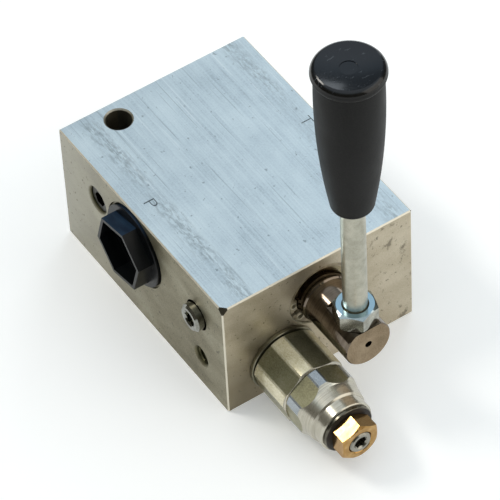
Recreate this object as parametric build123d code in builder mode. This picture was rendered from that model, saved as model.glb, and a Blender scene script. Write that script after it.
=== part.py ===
"""Lever-operated rotary control valve that bolts straight onto a hydraulic motor.

A drilled aluminium block stands on its motor face. A rotary spool lies in it along Y and carries
an upright hand lever in front of the block; below it a hexagonal relief cartridge sticks out of
the same face. The two hose ports are closed by plastic transit plugs.
Millimetres, +Z up, origin at the centre of the motor face, -Y is the lever side, -X the pressure side.
"""
from math import atan2, cos, degrees, radians, sin
from os import makedirs

from build123d import *

# Valve block
block_width = 72.8
block_length = 96.4
block_height = 50.0
block_edge_break = 0.45
edge_break = 0.9
corner_cut = 2.6

# General fits, all radial or face to face
seat_gap = 0.02
running_gap = 0.04
axial_play = 0.1
key_clearance = 0.3

# Spool bore, seen from the lever side
spool_x = 1.0
spool_z = 33.5
spool_bore_d = 24.0
spool_bore_depth = 78.0
bore_mouth_break = 0.35
drain_chamber_length = 4.2

# Retaining ring in the mouth of the spool bore
clip_inset = 0.6
clip_thickness = 1.2
clip_groove_width = 1.3
clip_groove_d = 25.2
clip_rim = 1.9
clip_ear_angle = 200.0
clip_ear_spread = 19.3
clip_ear_d = 4.6
clip_eye_d = 1.9
clip_gap = 1.6

# Gland behind the retaining ring
gland_length = 10.9
gland_break = 0.5
gland_seal_depth = 1.65
gland_seal_width = 2.4
gland_seal_inset = 2.2
shaft_seal_depth = 1.65
shaft_seal_width = 2.6
shaft_seal_inset = 5.6
thrust_washer_thickness = 1.0

# Rotary spool
stem_d = 18.0
lever_end_d = 17.0
stem_shoulder_out = 2.6
shoulder_chamfer = 0.5
spool_out = 26.0
spool_end_break = 0.3
centre_hole_d = 2.5
centre_hole_depth = 5.0
flat_height = 6.7
flat_start_out = 10.5
pocket_floor = 8.8
pocket_margin = 5.5
throw_angle = 45.0

# Stop screw on the left face, whose dog runs in a slot of the spool
stop_inset = 15.8
stop_thread_d = 6.0
stop_head_d = 10.0
stop_head_height = 6.0
stop_head_bevel = 0.8
stop_key_mouth_d = 6.2
stop_key_af = 5.0
stop_key_depth = 3.0
stop_recess_d = 11.2
stop_recess_depth = 3.0
stop_dog_d = 4.0
stop_dog_radius = 9.6
stop_slot_floor = 9.2

# Hand lever
lever_out = 19.1
lever_rod_d = 8.0
lever_hole_depth = 12.0
lever_rod_top = 104.0
lever_rod_break = 0.8
lever_nut_af = 13.0
lever_nut_height = 6.5
lever_nut_turn = 15.0
nut_face_share = 0.95

# Grip, heights counted from the spool axis
grip_bottom = 59.4
grip_shoulder = 86.0
grip_bead_bottom = 116.2
grip_bead_middle = 118.5
grip_top = 120.7
grip_bottom_d = 14.2
grip_shoulder_d = 20.2
grip_neck_d = 21.5
grip_bead_d = 23.4
grip_rim_d = 20.2
grip_dish = 0.9
grip_mark_d = 5.8
grip_mark_depth = 0.15
grip_bottom_round = 2.2
grip_hole_end_gap = 1.0

# Hose ports, P on the left and T on the right
port_y = 4.0
port_z = 33.5
port_thread_d = 20.9
port_thread_depth = 15.0
port_drill_d = 10.0
port_spotface_d = 31.4
port_spotface_depth = 1.0

# Transit plug in each hose port
plug_flange_d = 30.0
plug_flange_thickness = 2.0
plug_hex_af = 22.4
plug_hex_out = 6.5
plug_hex_turn = 12.5
plug_hex_wall = 1.2
plug_wall = 2.0
plug_shank_length = 12.0
plug_shank_gap = 0.1
plug_floor = 1.6
plug_seal_width = 1.75
plug_seal_height = 1.35
plug_edge = 0.5

# Motor ports A and B in the motor face
motor_port_d = 10.0
motor_port_depth = 15.0
motor_port_drill_d = 9.0
motor_port_spacing = 32.0
motor_seal_recess_d = 17.0
motor_seal_recess_depth = 1.7
motor_seal_d = 15.0

# Bolts down to the motor
bolt_hole_d = 9.0
bolt_rim_d = 10.0
bolt_a_x = -18.0
bolt_a_y = 40.4
bolt_b_x = 28.0
bolt_b_y = -32.4

# Drain port and spare tapped hole in the left face
drain_y = 26.3
drain_z = 35.0
drain_thread_d = 9.6
drain_rim_d = 11.1
drain_depth = 12.0
drain_passage_d = 5.0
drain_plug_inset = 1.0
drain_plug_length = 6.5
drain_plug_key_af = 5.0
spare_hole_y = -33.4
spare_hole_z = 14.0
spare_hole_d = 6.8
spare_hole_rim_d = 8.3
spare_hole_depth = 9.5

# Relief cartridge cavity and its drillings
relief_x = -15.0
relief_z = 13.8
relief_thread_d = 20.0
relief_thread_depth = 16.5
relief_nose_d = 17.0
relief_cavity_depth = 28.0
gallery_d = 5.0
relief_feed_depth = 31.0
relief_return_depth = 17.0
gallery_mouth_inset = 4.0
gallery_mouth_drop = 5.0

# Relief body, lengths counted outwards from the block's front face
relief_washer_d = 25.0
relief_washer_thickness = 1.5
relief_body_af = 23.4
relief_body_corner_d = 25.0
relief_body_turn = 44.5
relief_body_out = 19.1
relief_chamber_d = 11.0
relief_nose_depth = 27.0
relief_nose_wall = 2.4
relief_waist_d = 14.4
relief_waist_length = 4.0
relief_cross_hole_d = 3.5
nose_seal_inset = 2.6
nose_seal_width = 2.4
nose_seal_depth = 1.45

# Relief bonnet, screwed into the body
bonnet_af = 22.0
bonnet_corner_d = 24.0
bonnet_turn = 37.0
bonnet_hex_length = 6.5
bonnet_taper_length = 1.7
bonnet_cone_end_d = 20.6
bonnet_cone_length = 4.2
bonnet_neck_d = 19.3
bonnet_step_length = 0.6
bonnet_neck_length = 4.2
bonnet_spigot_d = 14.0
bonnet_spigot_length = 10.5
bonnet_bore_d = 10.2
bonnet_bore_length = 18.4
bonnet_seal_depth = 1.15
bonnet_seal_width = 1.6
bonnet_seal_inset = 1.6

# Seat, poppet, spring and guide inside the cartridge
seat_d = 8.0
seat_length = 5.0
seat_orifice_d = 4.4
poppet_d = 6.8
poppet_tip_d = 1.6
poppet_gap = 0.06
poppet_body_length = 2.8
poppet_flange_thickness = 2.5
poppet_stub_length = 3.0
poppet_travel = 2.0
spring_outer_d = 8.8
spring_wire_d = 1.2
spring_coils = 7
guide_d = 9.8
guide_thickness = 2.6
guide_spigot_length = 2.8
guide_boss_length = 0.75

# Adjuster, seal and lock nut on the end of the bonnet
adjuster_d = 8.0
adjuster_length = 28.0
adjuster_proud = 0.3
adjuster_key_af = 4.0
adjuster_key_depth = 5.0
adjuster_key_mouth_d = 5.2
relief_seal_d = 17.8
relief_seal_thickness = 1.2
relief_seal_lip_d = 12.4
relief_nut_af = 13.0
relief_nut_height = 6.5
relief_nut_turn = 28.0

# Places worked out from the sizes above
left_x = -block_width / 2
right_x = block_width / 2
front_y = -block_length / 2
spool_bore_r = spool_bore_d / 2
stem_r = stem_d / 2
motor_port_a_y = port_y + motor_port_spacing / 2
motor_port_b_y = port_y - motor_port_spacing / 2
lever_y = front_y - lever_out

spool_front = Plane(origin=(spool_x, front_y, spool_z), x_dir=(1, 0, 0), z_dir=(0, -1, 0))
spool_section = Plane(origin=(spool_x, front_y, spool_z), x_dir=(1, 0, 0), z_dir=(0, 0, -1))
relief_front = Plane(origin=(relief_x, front_y, relief_z), x_dir=(1, 0, 0), z_dir=(0, -1, 0))
relief_section = Plane(origin=(relief_x, front_y, relief_z), x_dir=(1, 0, 0), z_dir=(0, 0, -1))
lever_section = Plane(origin=(spool_x, lever_y, spool_z), x_dir=(1, 0, 0), z_dir=(0, -1, 0))
pressure_face = Plane(origin=(left_x, port_y, port_z), x_dir=(0, -1, 0), z_dir=(-1, 0, 0))
tank_face = Plane(origin=(right_x, port_y, port_z), x_dir=(0, 1, 0), z_dir=(1, 0, 0))
stop_face = Plane(origin=(left_x, front_y + stop_inset, spool_z), x_dir=(0, -1, 0), z_dir=(-1, 0, 0))
drain_face = Plane(origin=(left_x, drain_y, drain_z), x_dir=(0, -1, 0), z_dir=(-1, 0, 0))
spare_face = Plane(origin=(left_x, spare_hole_y, spare_hole_z), x_dir=(0, -1, 0), z_dir=(-1, 0, 0))


def turn(section, outline, mode=Mode.ADD):
    """Turn a closed outline of (radius, distance) points about the section plane's own Y axis."""
    with BuildSketch(section) as profile:
        with BuildLine():
            Polyline(*outline, close=True)
        make_face()
    revolve(profile.sketch, axis=Axis(section.origin, section.y_dir), mode=mode)


def hexagon(plane, across_flats, length, corner_angle=0.0, mode=Mode.ADD):
    """Extrude a hexagon from a plane; corner_angle is the direction of one corner."""
    with BuildSketch(plane) as profile:
        RegularPolygon(across_flats / 2, 6, major_radius=False, rotation=corner_angle)
    extrude(profile.sketch, amount=length, mode=mode)


def side_section(face):
    """The plane through a face plane's normal whose Y axis points out of that face."""
    return Plane(origin=face.origin, x_dir=face.x_dir, z_dir=face.x_dir.cross(face.z_dir))


def ring_outline(inner_d, outer_d, start, end, bevel=0.0):
    """A rectangular ring section with bevelled outer corners, as (radius, distance) points."""
    inner_r = inner_d / 2
    outer_r = outer_d / 2
    if bevel == 0:
        return [(inner_r, start), (outer_r, start), (outer_r, end), (inner_r, end)]
    return [
        (inner_r, start),
        (outer_r - bevel, start),
        (outer_r, start + bevel),
        (outer_r, end - bevel),
        (outer_r - bevel, end),
        (inner_r, end),
    ]


def seal_ring(section, inner_d, outer_d, middle):
    """A round-section seal ring that just fits between two diameters."""
    wire_r = (outer_d - inner_d) / 4 - seat_gap
    with BuildSketch(section) as profile:
        with Locations(((inner_d + outer_d) / 4, middle)):
            Circle(wire_r)
    revolve(profile.sketch, axis=Axis(section.origin, section.y_dir))


def nut_envelope(across_flats, start, end):
    """The turned outline that gives a nut its chamfered faces."""
    corner_r = across_flats / 3**0.5
    face_r = nut_face_share * across_flats / 2
    slope = (corner_r - face_r) * 3**-0.5
    return [(0, start), (face_r, start), (corner_r, start + slope),
            (corner_r, end - slope), (face_r, end), (0, end)]


def slanted_hole(start, end, diameter):
    """Drill a straight gallery between two points."""
    run = Vector(*end) - Vector(*start)
    with BuildSketch(Plane(origin=start, z_dir=run)) as mouth:
        Circle(diameter / 2)
    extrude(mouth.sketch, amount=run.length, mode=Mode.SUBTRACT)


# Valve block
corner_point = (left_x, front_y, block_height)
relief_feed_point = (relief_x, front_y + relief_feed_depth, relief_z)
relief_return_point = (relief_x + relief_waist_d / 2, front_y + relief_return_depth, relief_z)
pressure_mouth_point = (left_x + gallery_mouth_inset, port_y, port_z)
tank_mouth_point = (right_x - gallery_mouth_inset, port_y, port_z - gallery_mouth_drop)
spool_break_in = spool_bore_r * cos(radians(30))

with BuildPart() as valve_block:
    Box(block_width, block_length, block_height, align=(Align.CENTER, Align.CENTER, Align.MIN))
    chamfer(valve_block.edges(), block_edge_break)
    corner_plane = Plane(origin=corner_point, z_dir=(-1, -1, 1)).offset(-corner_cut / 3**0.5)
    with BuildSketch(corner_plane):
        Rectangle(8 * corner_cut, 8 * corner_cut)
    extrude(amount=4 * corner_cut, mode=Mode.SUBTRACT)

    # Spool bore with its ring groove
    groove_end = clip_inset + clip_groove_width
    turn(spool_section, [
        (0, 0),
        (spool_bore_r + bore_mouth_break, 0),
        (spool_bore_r, -bore_mouth_break),
        (spool_bore_r, -clip_inset),
        (clip_groove_d / 2, -clip_inset),
        (clip_groove_d / 2, -groove_end),
        (spool_bore_r, -groove_end),
        (spool_bore_r, -spool_bore_depth),
        (0, -spool_bore_depth),
    ], mode=Mode.SUBTRACT)

    # Hose ports, each with a spotface, a thread and a drilling into the spool bore
    for face, reach in ((pressure_face, spool_x - left_x), (tank_face, right_x - spool_x)):
        with Locations(face):
            CounterBoreHole(port_thread_d / 2, port_spotface_d / 2, port_spotface_depth, port_thread_depth)
            Hole(port_drill_d / 2, reach - spool_break_in)

    # Motor ports with a seal recess in the motor face
    for y in (motor_port_a_y, motor_port_b_y):
        with Locations(Plane(origin=(spool_x, y, 0), z_dir=(0, 0, -1))):
            CounterBoreHole(motor_port_d / 2, motor_seal_recess_d / 2, motor_seal_recess_depth,
                            motor_port_depth)
            Hole(motor_port_drill_d / 2, spool_z - spool_break_in)

    # Through holes for the bolts into the motor
    for x, y in ((bolt_a_x, bolt_a_y), (bolt_b_x, bolt_b_y)):
        with Locations((x, y, block_height)):
            CounterSinkHole(bolt_hole_d / 2, bolt_rim_d / 2, block_height, 90)

    # Stop screw hole, drain port and spare tapped hole
    with Locations(stop_face):
        CounterBoreHole(stop_thread_d / 2 + seat_gap, stop_recess_d / 2, stop_recess_depth,
                        spool_x - left_x - spool_break_in)
    with Locations(drain_face):
        CounterSinkHole(drain_thread_d / 2, drain_rim_d / 2, drain_depth, 90)
        Hole(drain_passage_d / 2, spool_x - left_x - spool_break_in)
    with Locations(spare_face):
        CounterSinkHole(spare_hole_d / 2, spare_hole_rim_d / 2, spare_hole_depth, 90)

    # Relief cavity, its feed from P and its return to T
    turn(relief_section, [
        (0, 0),
        (relief_thread_d / 2, 0),
        (relief_thread_d / 2, -relief_thread_depth),
        (relief_nose_d / 2, -relief_thread_depth),
        (relief_nose_d / 2, -relief_cavity_depth),
        (gallery_d / 2, -relief_cavity_depth),
        (gallery_d / 2, -relief_feed_depth - gallery_d / 2),
        (0, -relief_feed_depth - gallery_d / 2),
    ], mode=Mode.SUBTRACT)
    slanted_hole(pressure_mouth_point, relief_feed_point, gallery_d)
    slanted_hole(tank_mouth_point, relief_return_point, gallery_d)

# Retaining ring: a spring ring cut open between two eared ends
clip_front = -clip_inset - seat_gap
clip_back = clip_front - clip_thickness
clip_outer_r = clip_groove_d / 2 - running_gap
with BuildPart() as spool_circlip:
    with BuildSketch(spool_front.offset(clip_back)):
        Circle(clip_outer_r)
        Circle(clip_outer_r - clip_rim, mode=Mode.SUBTRACT)
        ear_reach = clip_outer_r - clip_ear_d / 2
        ear_angles = (clip_ear_angle - clip_ear_spread, clip_ear_angle + clip_ear_spread)
        ears = [(ear_reach * cos(radians(a)), ear_reach * sin(radians(a))) for a in ear_angles]
        with Locations(*ears):
            Circle(clip_ear_d / 2)
        Circle(clip_outer_r, mode=Mode.INTERSECT)
        Circle(stem_r + key_clearance, mode=Mode.SUBTRACT)
        with Locations(*ears):
            Circle(clip_eye_d / 2, mode=Mode.SUBTRACT)
        with Locations(Location((0, 0, 0), (0, 0, clip_ear_angle))):
            with Locations((clip_outer_r, 0)):
                Rectangle(clip_groove_d / 2, clip_gap, mode=Mode.SUBTRACT)
    extrude(amount=clip_thickness)

# Gland: a plain bush with one seal outside and one inside
gland_front = clip_back - seat_gap
gland_back = gland_front - gland_length
gland_outer_d = spool_bore_d - 2 * seat_gap
gland_inner_d = stem_d + 2 * running_gap
outer_groove_top = gland_front - gland_seal_inset
inner_groove_top = gland_front - shaft_seal_inset
with BuildPart() as spool_gland:
    turn(spool_section, ring_outline(gland_inner_d, gland_outer_d, gland_back, gland_front, gland_break))
    turn(spool_section, ring_outline(gland_outer_d - 2 * gland_seal_depth, spool_bore_d + 1,
                                     outer_groove_top - gland_seal_width, outer_groove_top),
         mode=Mode.SUBTRACT)
    turn(spool_section, ring_outline(stem_d - 1, gland_inner_d + 2 * shaft_seal_depth,
                                     inner_groove_top - shaft_seal_width, inner_groove_top),
         mode=Mode.SUBTRACT)

with BuildPart() as gland_outer_seal:
    seal_ring(spool_section, gland_outer_d - 2 * gland_seal_depth, spool_bore_d,
              outer_groove_top - gland_seal_width / 2)

with BuildPart() as spool_shaft_seal:
    turn(spool_section, ring_outline(gland_inner_d, gland_inner_d + 2 * (shaft_seal_depth - seat_gap),
                                     inner_groove_top - shaft_seal_width + seat_gap,
                                     inner_groove_top - seat_gap, bevel=0.3))

washer_front = gland_back - seat_gap
washer_back = washer_front - thrust_washer_thickness
with BuildPart() as spool_thrust_washer:
    turn(spool_section, ring_outline(gland_inner_d, gland_outer_d, washer_back, washer_front, bevel=0.2))

# Rotary spool: stem, rotor with its flow pockets, and the flat that carries the lever
rotor_r = spool_bore_r - running_gap
rotor_front = washer_back - axial_play
rotor_back = -(spool_bore_depth - drain_chamber_length)
with BuildPart() as rotary_spool:
    turn(spool_section, [
        (0, rotor_back),
        (rotor_r, rotor_back),
        (rotor_r, rotor_front),
        (stem_r, rotor_front),
        (stem_r, stem_shoulder_out),
        (lever_end_d / 2, stem_shoulder_out + shoulder_chamfer),
        (lever_end_d / 2, spool_out - spool_end_break),
        (lever_end_d / 2 - spool_end_break, spool_out),
        (0, spool_out),
    ])

    # Flow pockets: A below, P and T to the sides, each reaching its motor port's plane
    def pocket(angle, y_from, y_to):
        """Mill a flat into the rotor on one side, between two Y positions."""
        outwards = (cos(radians(angle)), 0, sin(radians(angle)))
        floor = Plane(origin=(spool_x, (y_from + y_to) / 2, spool_z), x_dir=(0, 1, 0), z_dir=outwards)
        with BuildSketch(floor.offset(pocket_floor)) as area:
            Rectangle(abs(y_to - y_from), spool_bore_d)
        extrude(area.sketch, amount=spool_bore_r, mode=Mode.SUBTRACT)

    pocket(-90, port_y - pocket_margin, motor_port_a_y + pocket_margin)
    pocket(180, motor_port_b_y - pocket_margin, port_y + pocket_margin)
    pocket(0, motor_port_b_y - pocket_margin, port_y + pocket_margin)

    # Slot for the stop screw's dog, as long as the lever's throw
    slot_width = stop_dog_d + 2 * key_clearance
    slot_half = throw_angle + degrees(atan2(slot_width / 2, stop_slot_floor)) + 1
    slot_start = radians(180 - slot_half)
    slot_plane = Plane(origin=spool_section.origin, x_dir=(cos(slot_start), 0, sin(slot_start)),
                       z_dir=(sin(slot_start), 0, -cos(slot_start)))
    with BuildSketch(slot_plane) as slot_profile:
        with Locations(((stop_slot_floor + spool_bore_d) / 2, -stop_inset)):
            Rectangle(spool_bore_d - stop_slot_floor, slot_width)
    revolve(slot_profile.sketch, axis=Axis(spool_section.origin, (0, -1, 0)),
            revolution_arc=2 * slot_half, mode=Mode.SUBTRACT)

    # Flat with the lever's tapped hole, and the centre hole in the end
    flat_length = spool_out - flat_start_out
    with BuildSketch(Plane(origin=(spool_x, front_y - flat_start_out, spool_z + flat_height),
                           x_dir=(1, 0, 0), z_dir=(0, 0, 1))):
        with Locations((0, -flat_length)):
            Rectangle(lever_end_d, 2 * flat_length)
    extrude(amount=lever_end_d / 2, mode=Mode.SUBTRACT)
    with Locations(Plane(origin=(spool_x, lever_y, spool_z + flat_height), z_dir=(0, 0, 1))):
        Hole(lever_rod_d / 2 + seat_gap, lever_hole_depth)
    with Locations(spool_front.offset(spool_out)):
        Hole(centre_hole_d / 2, centre_hole_depth)

# Stop screw: a socket head screw with a dog point
dog_reach = spool_x - left_x - stop_dog_radius
dog_start = spool_x - left_x - spool_bore_r - key_clearance
head_out = stop_head_height - stop_recess_depth
with BuildPart() as spool_stop_screw:
    turn(side_section(stop_face), [
        (0, -dog_reach),
        (stop_dog_d / 2, -dog_reach),
        (stop_dog_d / 2, -dog_start),
        (stop_thread_d / 2, -dog_start),
        (stop_thread_d / 2, -stop_recess_depth),
        (stop_head_d / 2, -stop_recess_depth),
        (stop_head_d / 2, head_out - stop_head_bevel),
        (stop_head_d / 2 - stop_head_bevel, head_out),
        (stop_key_mouth_d / 2, head_out),
        (0, head_out - stop_key_mouth_d / 2),
    ])
    hexagon(stop_face.offset(head_out), stop_key_af, -stop_key_depth, mode=Mode.SUBTRACT)

# Lever: rod, lock nut and moulded grip
rod_bottom = flat_height - lever_hole_depth + edge_break
with BuildPart() as lever_rod:
    turn(lever_section, [
        (0, rod_bottom),
        (lever_rod_d / 2 - lever_rod_break, rod_bottom),
        (lever_rod_d / 2, rod_bottom + lever_rod_break),
        (lever_rod_d / 2, lever_rod_top - lever_rod_break),
        (lever_rod_d / 2 - lever_rod_break, lever_rod_top),
        (0, lever_rod_top),
    ])

nut_bottom = flat_height
nut_top = nut_bottom + lever_nut_height
with BuildPart() as lever_lock_nut:
    hexagon(Plane(origin=(spool_x, lever_y, spool_z + nut_bottom)), lever_nut_af, lever_nut_height,
            lever_nut_turn)
    turn(lever_section, nut_envelope(lever_nut_af, nut_bottom, nut_top), mode=Mode.INTERSECT)
    with Locations((spool_x, lever_y, spool_z + nut_top)):
        CounterSinkHole(lever_rod_d / 2 + seat_gap, lever_rod_d / 2 + edge_break / 2, lever_nut_height, 90)

with BuildPart() as lever_grip:
    with BuildSketch(lever_section) as grip_profile:
        with BuildLine():
            base = Line((0, grip_bottom), (grip_bottom_d / 2 - grip_bottom_round, grip_bottom))
            foot = TangentArc(base @ 1, (grip_bottom_d / 2, grip_bottom + grip_bottom_round), tangent=base % 1)
            flank = Spline(foot @ 1, (grip_shoulder_d / 2, grip_shoulder), (grip_neck_d / 2, grip_bead_bottom))
            bead = ThreePointArc(flank @ 1, (grip_bead_d / 2, grip_bead_middle), (grip_rim_d / 2, grip_top))
            dish = TangentArc((0, grip_top - grip_dish), bead @ 1, tangent=(1, 0))
            Line(dish @ 0, base @ 0)
        make_face()
    revolve(axis=Axis(lever_section.origin, (0, 0, 1)))
    turn(lever_section, ring_outline(0, lever_rod_d + 2 * seat_gap, grip_bottom - 1,
                                     lever_rod_top + grip_hole_end_gap), mode=Mode.SUBTRACT)
    turn(lever_section, ring_outline(0, grip_mark_d, grip_top - grip_dish - grip_mark_depth, grip_top),
         mode=Mode.SUBTRACT)

# Relief cartridge: sealing washer and body
hex_start = relief_washer_thickness
hex_r = relief_body_af / 2
hex_corner_r = relief_body_corner_d / 2
hex_back_r = hex_r - edge_break
hex_break = (hex_corner_r - hex_back_r) * 3**-0.5
thread_r = relief_thread_d / 2 - seat_gap
nose_r = relief_nose_d / 2 - seat_gap
waist_r = relief_waist_d / 2
waist_end = -relief_thread_depth - relief_waist_length
groove_back = -relief_nose_depth + nose_seal_inset
seat_floor = -relief_nose_depth + relief_nose_wall
seat_top = seat_floor + seat_length
chamber_r = relief_chamber_d / 2
spigot_end = relief_body_out - bonnet_spigot_length
with BuildPart() as relief_washer:
    turn(relief_section, ring_outline(relief_thread_d + 2 * seat_gap, relief_washer_d, 0,
                                      relief_washer_thickness, bevel=0.25))

with BuildPart() as relief_body:
    hexagon(relief_front.offset(hex_start), relief_body_af, relief_body_out - hex_start, relief_body_turn)
    turn(relief_section, [
        (0, hex_start),
        (hex_back_r, hex_start),
        (hex_corner_r, hex_start + hex_break),
        (hex_corner_r, relief_body_out - edge_break / 2),
        (hex_corner_r - edge_break, relief_body_out),
        (0, relief_body_out),
    ], mode=Mode.INTERSECT)
    turn(relief_section, [
        (0, hex_start + 1),
        (thread_r, hex_start + 1),
        (thread_r, -relief_thread_depth + axial_play),
        (waist_r, -relief_thread_depth + axial_play),
        (waist_r, waist_end),
        (nose_r, waist_end),
        (nose_r, groove_back + nose_seal_width),
        (nose_r - nose_seal_depth, groove_back + nose_seal_width),
        (nose_r - nose_seal_depth, groove_back),
        (nose_r, groove_back),
        (nose_r, -relief_nose_depth + edge_break / 2),
        (nose_r - edge_break / 2, -relief_nose_depth),
        (0, -relief_nose_depth),
    ])
    turn(relief_section, [
        (0, -relief_nose_depth - 1),
        (gallery_d / 2, -relief_nose_depth - 1),
        (gallery_d / 2, seat_floor),
        (seat_d / 2 + seat_gap, seat_floor),
        (seat_d / 2 + seat_gap, seat_top),
        (chamber_r, seat_top),
        (chamber_r, spigot_end - 1),
        (bonnet_spigot_d / 2 + seat_gap, spigot_end - 1),
        (bonnet_spigot_d / 2 + seat_gap, relief_body_out + 1),
        (0, relief_body_out + 1),
    ], mode=Mode.SUBTRACT)

    # Cross holes that let the relieved oil out at the waist
    waist_middle = front_y + relief_thread_depth + relief_waist_length / 2
    for direction in ((1, 0, 0), (0, 0, 1)):
        with BuildSketch(Plane(origin=(relief_x, waist_middle, relief_z), z_dir=direction)) as cross_hole:
            Circle(relief_cross_hole_d / 2)
        extrude(cross_hole.sketch, amount=thread_r, both=True, mode=Mode.SUBTRACT)

with BuildPart() as relief_nose_seal:
    seal_ring(relief_section, 2 * (nose_r - nose_seal_depth), relief_nose_d, groove_back + nose_seal_width / 2)

with BuildPart() as relief_seat:
    turn(relief_section, ring_outline(seat_orifice_d, seat_d, seat_floor + seat_gap, seat_top, bevel=0.2))

# Poppet: its cone closes on the edge of the seat
cone_start = seat_top + poppet_gap - (seat_orifice_d - poppet_tip_d) / 2
cone_end = cone_start + (poppet_d - poppet_tip_d) / 2
flange_start = cone_end + poppet_body_length
spring_start = flange_start + poppet_flange_thickness
stub_r = (spring_outer_d - 2 * spring_wire_d) / 2 - key_clearance
with BuildPart() as relief_poppet:
    turn(relief_section, [
        (0, cone_start),
        (poppet_tip_d / 2, cone_start),
        (poppet_d / 2, cone_end),
        (poppet_d / 2, flange_start),
        (chamber_r - running_gap - key_clearance, flange_start),
        (chamber_r - running_gap - key_clearance, spring_start),
        (stub_r, spring_start),
        (stub_r, spring_start + poppet_stub_length),
        (0, spring_start + poppet_stub_length),
    ])

# Bonnet: taper, neck and a spigot that screws into the body
bonnet_start = relief_body_out
bonnet_hex_end = bonnet_start + bonnet_hex_length
bonnet_taper_end = bonnet_hex_end + bonnet_taper_length
bonnet_cone_end = bonnet_taper_end + bonnet_cone_length
bonnet_neck_start = bonnet_cone_end + bonnet_step_length
bonnet_end = bonnet_neck_start + bonnet_neck_length
adjuster_hole_r = adjuster_d / 2 + seat_gap
bonnet_groove_top = bonnet_start - bonnet_seal_inset
with BuildPart() as relief_bonnet:
    hexagon(relief_front.offset(bonnet_start), bonnet_af, bonnet_end - bonnet_start, bonnet_turn)
    turn(relief_section, [
        (0, bonnet_start),
        (bonnet_corner_d / 2 - edge_break, bonnet_start),
        (bonnet_corner_d / 2, bonnet_start + edge_break / 2),
        (bonnet_corner_d / 2, bonnet_hex_end),
        (bonnet_af / 2, bonnet_taper_end),
        (bonnet_cone_end_d / 2, bonnet_cone_end),
        (bonnet_neck_d / 2, bonnet_neck_start),
        (bonnet_neck_d / 2, bonnet_end - edge_break / 3),
        (bonnet_neck_d / 2 - edge_break / 3, bonnet_end),
        (0, bonnet_end),
    ], mode=Mode.INTERSECT)
    turn(relief_section, [
        (0, bonnet_start + 1),
        (bonnet_spigot_d / 2, bonnet_start + 1),
        (bonnet_spigot_d / 2, bonnet_groove_top),
        (bonnet_spigot_d / 2 - bonnet_seal_depth, bonnet_groove_top),
        (bonnet_spigot_d / 2 - bonnet_seal_depth, bonnet_groove_top - bonnet_seal_width),
        (bonnet_spigot_d / 2, bonnet_groove_top - bonnet_seal_width),
        (bonnet_spigot_d / 2, spigot_end),
        (0, spigot_end),
    ])
    turn(relief_section, [
        (0, spigot_end - 1),
        (bonnet_bore_d / 2, spigot_end - 1),
        (bonnet_bore_d / 2, spigot_end + bonnet_bore_length),
        (adjuster_hole_r, spigot_end + bonnet_bore_length + adjuster_d / 4),
        (adjuster_hole_r, bonnet_end + 1),
        (0, bonnet_end + 1),
    ], mode=Mode.SUBTRACT)

with BuildPart() as relief_bonnet_seal:
    seal_ring(relief_section, bonnet_spigot_d - 2 * bonnet_seal_depth, bonnet_spigot_d + 2 * seat_gap,
              bonnet_groove_top - bonnet_seal_width / 2)

# Sealing washer, lock nut and adjuster screw
relief_nut_start = bonnet_end + relief_seal_thickness
relief_nut_end = relief_nut_start + relief_nut_height
adjuster_end = relief_nut_end + adjuster_proud
adjuster_start = adjuster_end - adjuster_length
with BuildPart() as relief_end_seal:
    turn(relief_section, ring_outline(adjuster_d + 2 * running_gap, relief_seal_d, bonnet_end,
                                      relief_nut_start, bevel=0.2))
    lip_groove = ring_outline(relief_seal_lip_d, relief_seal_lip_d + edge_break, relief_nut_start - 0.2,
                              relief_nut_start + 1)
    turn(relief_section, lip_groove, mode=Mode.SUBTRACT)

with BuildPart() as relief_lock_nut:
    hexagon(relief_front.offset(relief_nut_start), relief_nut_af, relief_nut_height, relief_nut_turn)
    turn(relief_section, nut_envelope(relief_nut_af, relief_nut_start, relief_nut_end), mode=Mode.INTERSECT)
    with Locations(relief_front.offset(relief_nut_end)):
        CounterSinkHole(adjuster_hole_r, adjuster_d / 2 + edge_break / 2, relief_nut_height, 90)

with BuildPart() as relief_adjuster_screw:
    turn(relief_section, [
        (0, adjuster_start),
        (adjuster_d / 4, adjuster_start),
        (adjuster_d / 2 - seat_gap, adjuster_start + adjuster_d / 4),
        (adjuster_d / 2 - seat_gap, adjuster_end - edge_break / 2),
        (adjuster_d / 2 - edge_break / 2, adjuster_end),
        (adjuster_key_mouth_d / 2, adjuster_end),
        (0, adjuster_end - adjuster_key_mouth_d / 2),
    ])
    hexagon(relief_front.offset(adjuster_end), adjuster_key_af, -adjuster_key_depth, mode=Mode.SUBTRACT)

# Spring guide at the tip of the adjuster, and the spring between it and the poppet
guide_boss_end = adjuster_start - seat_gap
guide_top = guide_boss_end - guide_boss_length
guide_bottom = guide_top - guide_thickness
with BuildPart() as relief_spring_guide:
    turn(relief_section, [
        (0, guide_bottom - guide_spigot_length),
        (stub_r, guide_bottom - guide_spigot_length),
        (stub_r, guide_bottom),
        (guide_d / 2, guide_bottom),
        (guide_d / 2, guide_top),
        (adjuster_d / 4, guide_top),
        (adjuster_d / 4, guide_boss_end),
        (0, guide_boss_end),
    ])

spring_wire_r = spring_wire_d / 2
spring_from = spring_start + spring_wire_r + seat_gap
spring_to = guide_bottom - spring_wire_r - seat_gap
spring_r = spring_outer_d / 2 - spring_wire_r
spring_run = spring_to - spring_from
spring_centre = (relief_x, front_y - spring_from, relief_z)
with BuildPart() as relief_spring:
    with BuildLine():
        coil = Helix(pitch=spring_run / spring_coils, height=spring_run, radius=spring_r,
                     center=spring_centre, direction=(0, -1, 0))
    with BuildSketch(Plane(origin=coil @ 0, z_dir=coil % 0)):
        Circle(spring_wire_r)
    sweep(path=coil, is_frenet=True)


# Transit plugs in the hose ports, each with its own seal ring
shank_d = port_thread_d - 2 * plug_shank_gap
flange_back = -port_spotface_depth
flange_front = flange_back + plug_flange_thickness
shank_end = flange_back - plug_shank_length
plug_seal_outer_d = shank_d + 2 * plug_seal_width
plug_seal_front = flange_back + plug_seal_height


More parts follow.
